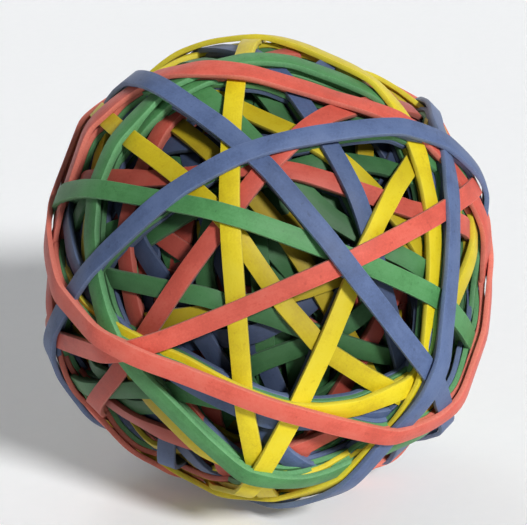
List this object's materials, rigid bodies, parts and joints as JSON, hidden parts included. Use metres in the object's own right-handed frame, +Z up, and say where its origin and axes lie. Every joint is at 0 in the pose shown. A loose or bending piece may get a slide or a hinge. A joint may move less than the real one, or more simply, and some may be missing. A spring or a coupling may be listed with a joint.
{
  "type": "rubber band ball",
  "caption": "Ball of flat rubber bands in red, yellow, green and blue, wound taut one over another round a packed core.",
  "frame": {"origin": "centre of the ball's bounding box at its base, where it stands on its high spots", "axes": "+Z up through the ball as it rests; -Y is the side that the picture shows, and +X is to that view's right"},
  "size_m": [0.071, 0.0752, 0.0733],
  "materials": {
    "red_rubber": "matte, slightly dusty",
    "yellow_rubber": "matte, slightly dusty",
    "green_rubber": "matte, slightly dusty",
    "blue_rubber": "matte, slightly dusty",
    "core_rubber": "matte"
  },
  "bodies": {
    "root": {"band_01_green": "green_rubber", "band_02_yellow": "yellow_rubber", "band_03_blue": "blue_rubber", "band_04_red": "red_rubber", "band_05_green": "green_rubber", "band_06_blue": "blue_rubber", "band_07_yellow": "yellow_rubber", "band_08_red": "red_rubber", "band_09_green": "green_rubber", "band_10_red": "red_rubber", "band_11_blue": "blue_rubber", "band_12_green": "green_rubber", "band_13_yellow": "yellow_rubber", "band_14_blue": "blue_rubber", "band_15_red": "red_rubber", "band_16_green": "green_rubber", "band_17_green": "green_rubber", "band_18_green": "green_rubber", "band_19_blue": "blue_rubber", "band_20_blue": "blue_rubber", "band_21_yellow": "yellow_rubber", "band_22_green": "green_rubber", "band_23_red": "red_rubber", "band_24_green": "green_rubber", "band_25_red": "red_rubber", "band_26_blue": "blue_rubber", "band_27_yellow": "yellow_rubber", "band_28_red": "red_rubber", "band_29_green": "green_rubber", "band_30_yellow": "yellow_rubber", "band_31_green": "green_rubber", "band_32_yellow": "yellow_rubber", "band_33_green": "green_rubber", "band_34_red": "red_rubber", "band_35_blue": "blue_rubber", "band_36_green": "green_rubber", "band_37_red": "red_rubber", "band_38_blue": "blue_rubber", "band_39_yellow": "yellow_rubber", "band_40_yellow": "yellow_rubber", "band_41_yellow": "yellow_rubber", "band_42_yellow": "yellow_rubber", "band_43_green": "green_rubber", "band_44_yellow": "yellow_rubber", "band_45_red": "red_rubber", "band_46_green": "green_rubber", "band_47_red": "red_rubber", "band_48_blue": "blue_rubber", "band_49_blue": "blue_rubber", "band_50_blue": "blue_rubber", "band_51_red": "red_rubber", "wound_core": "core_rubber"}
  },
  "joints": []
}
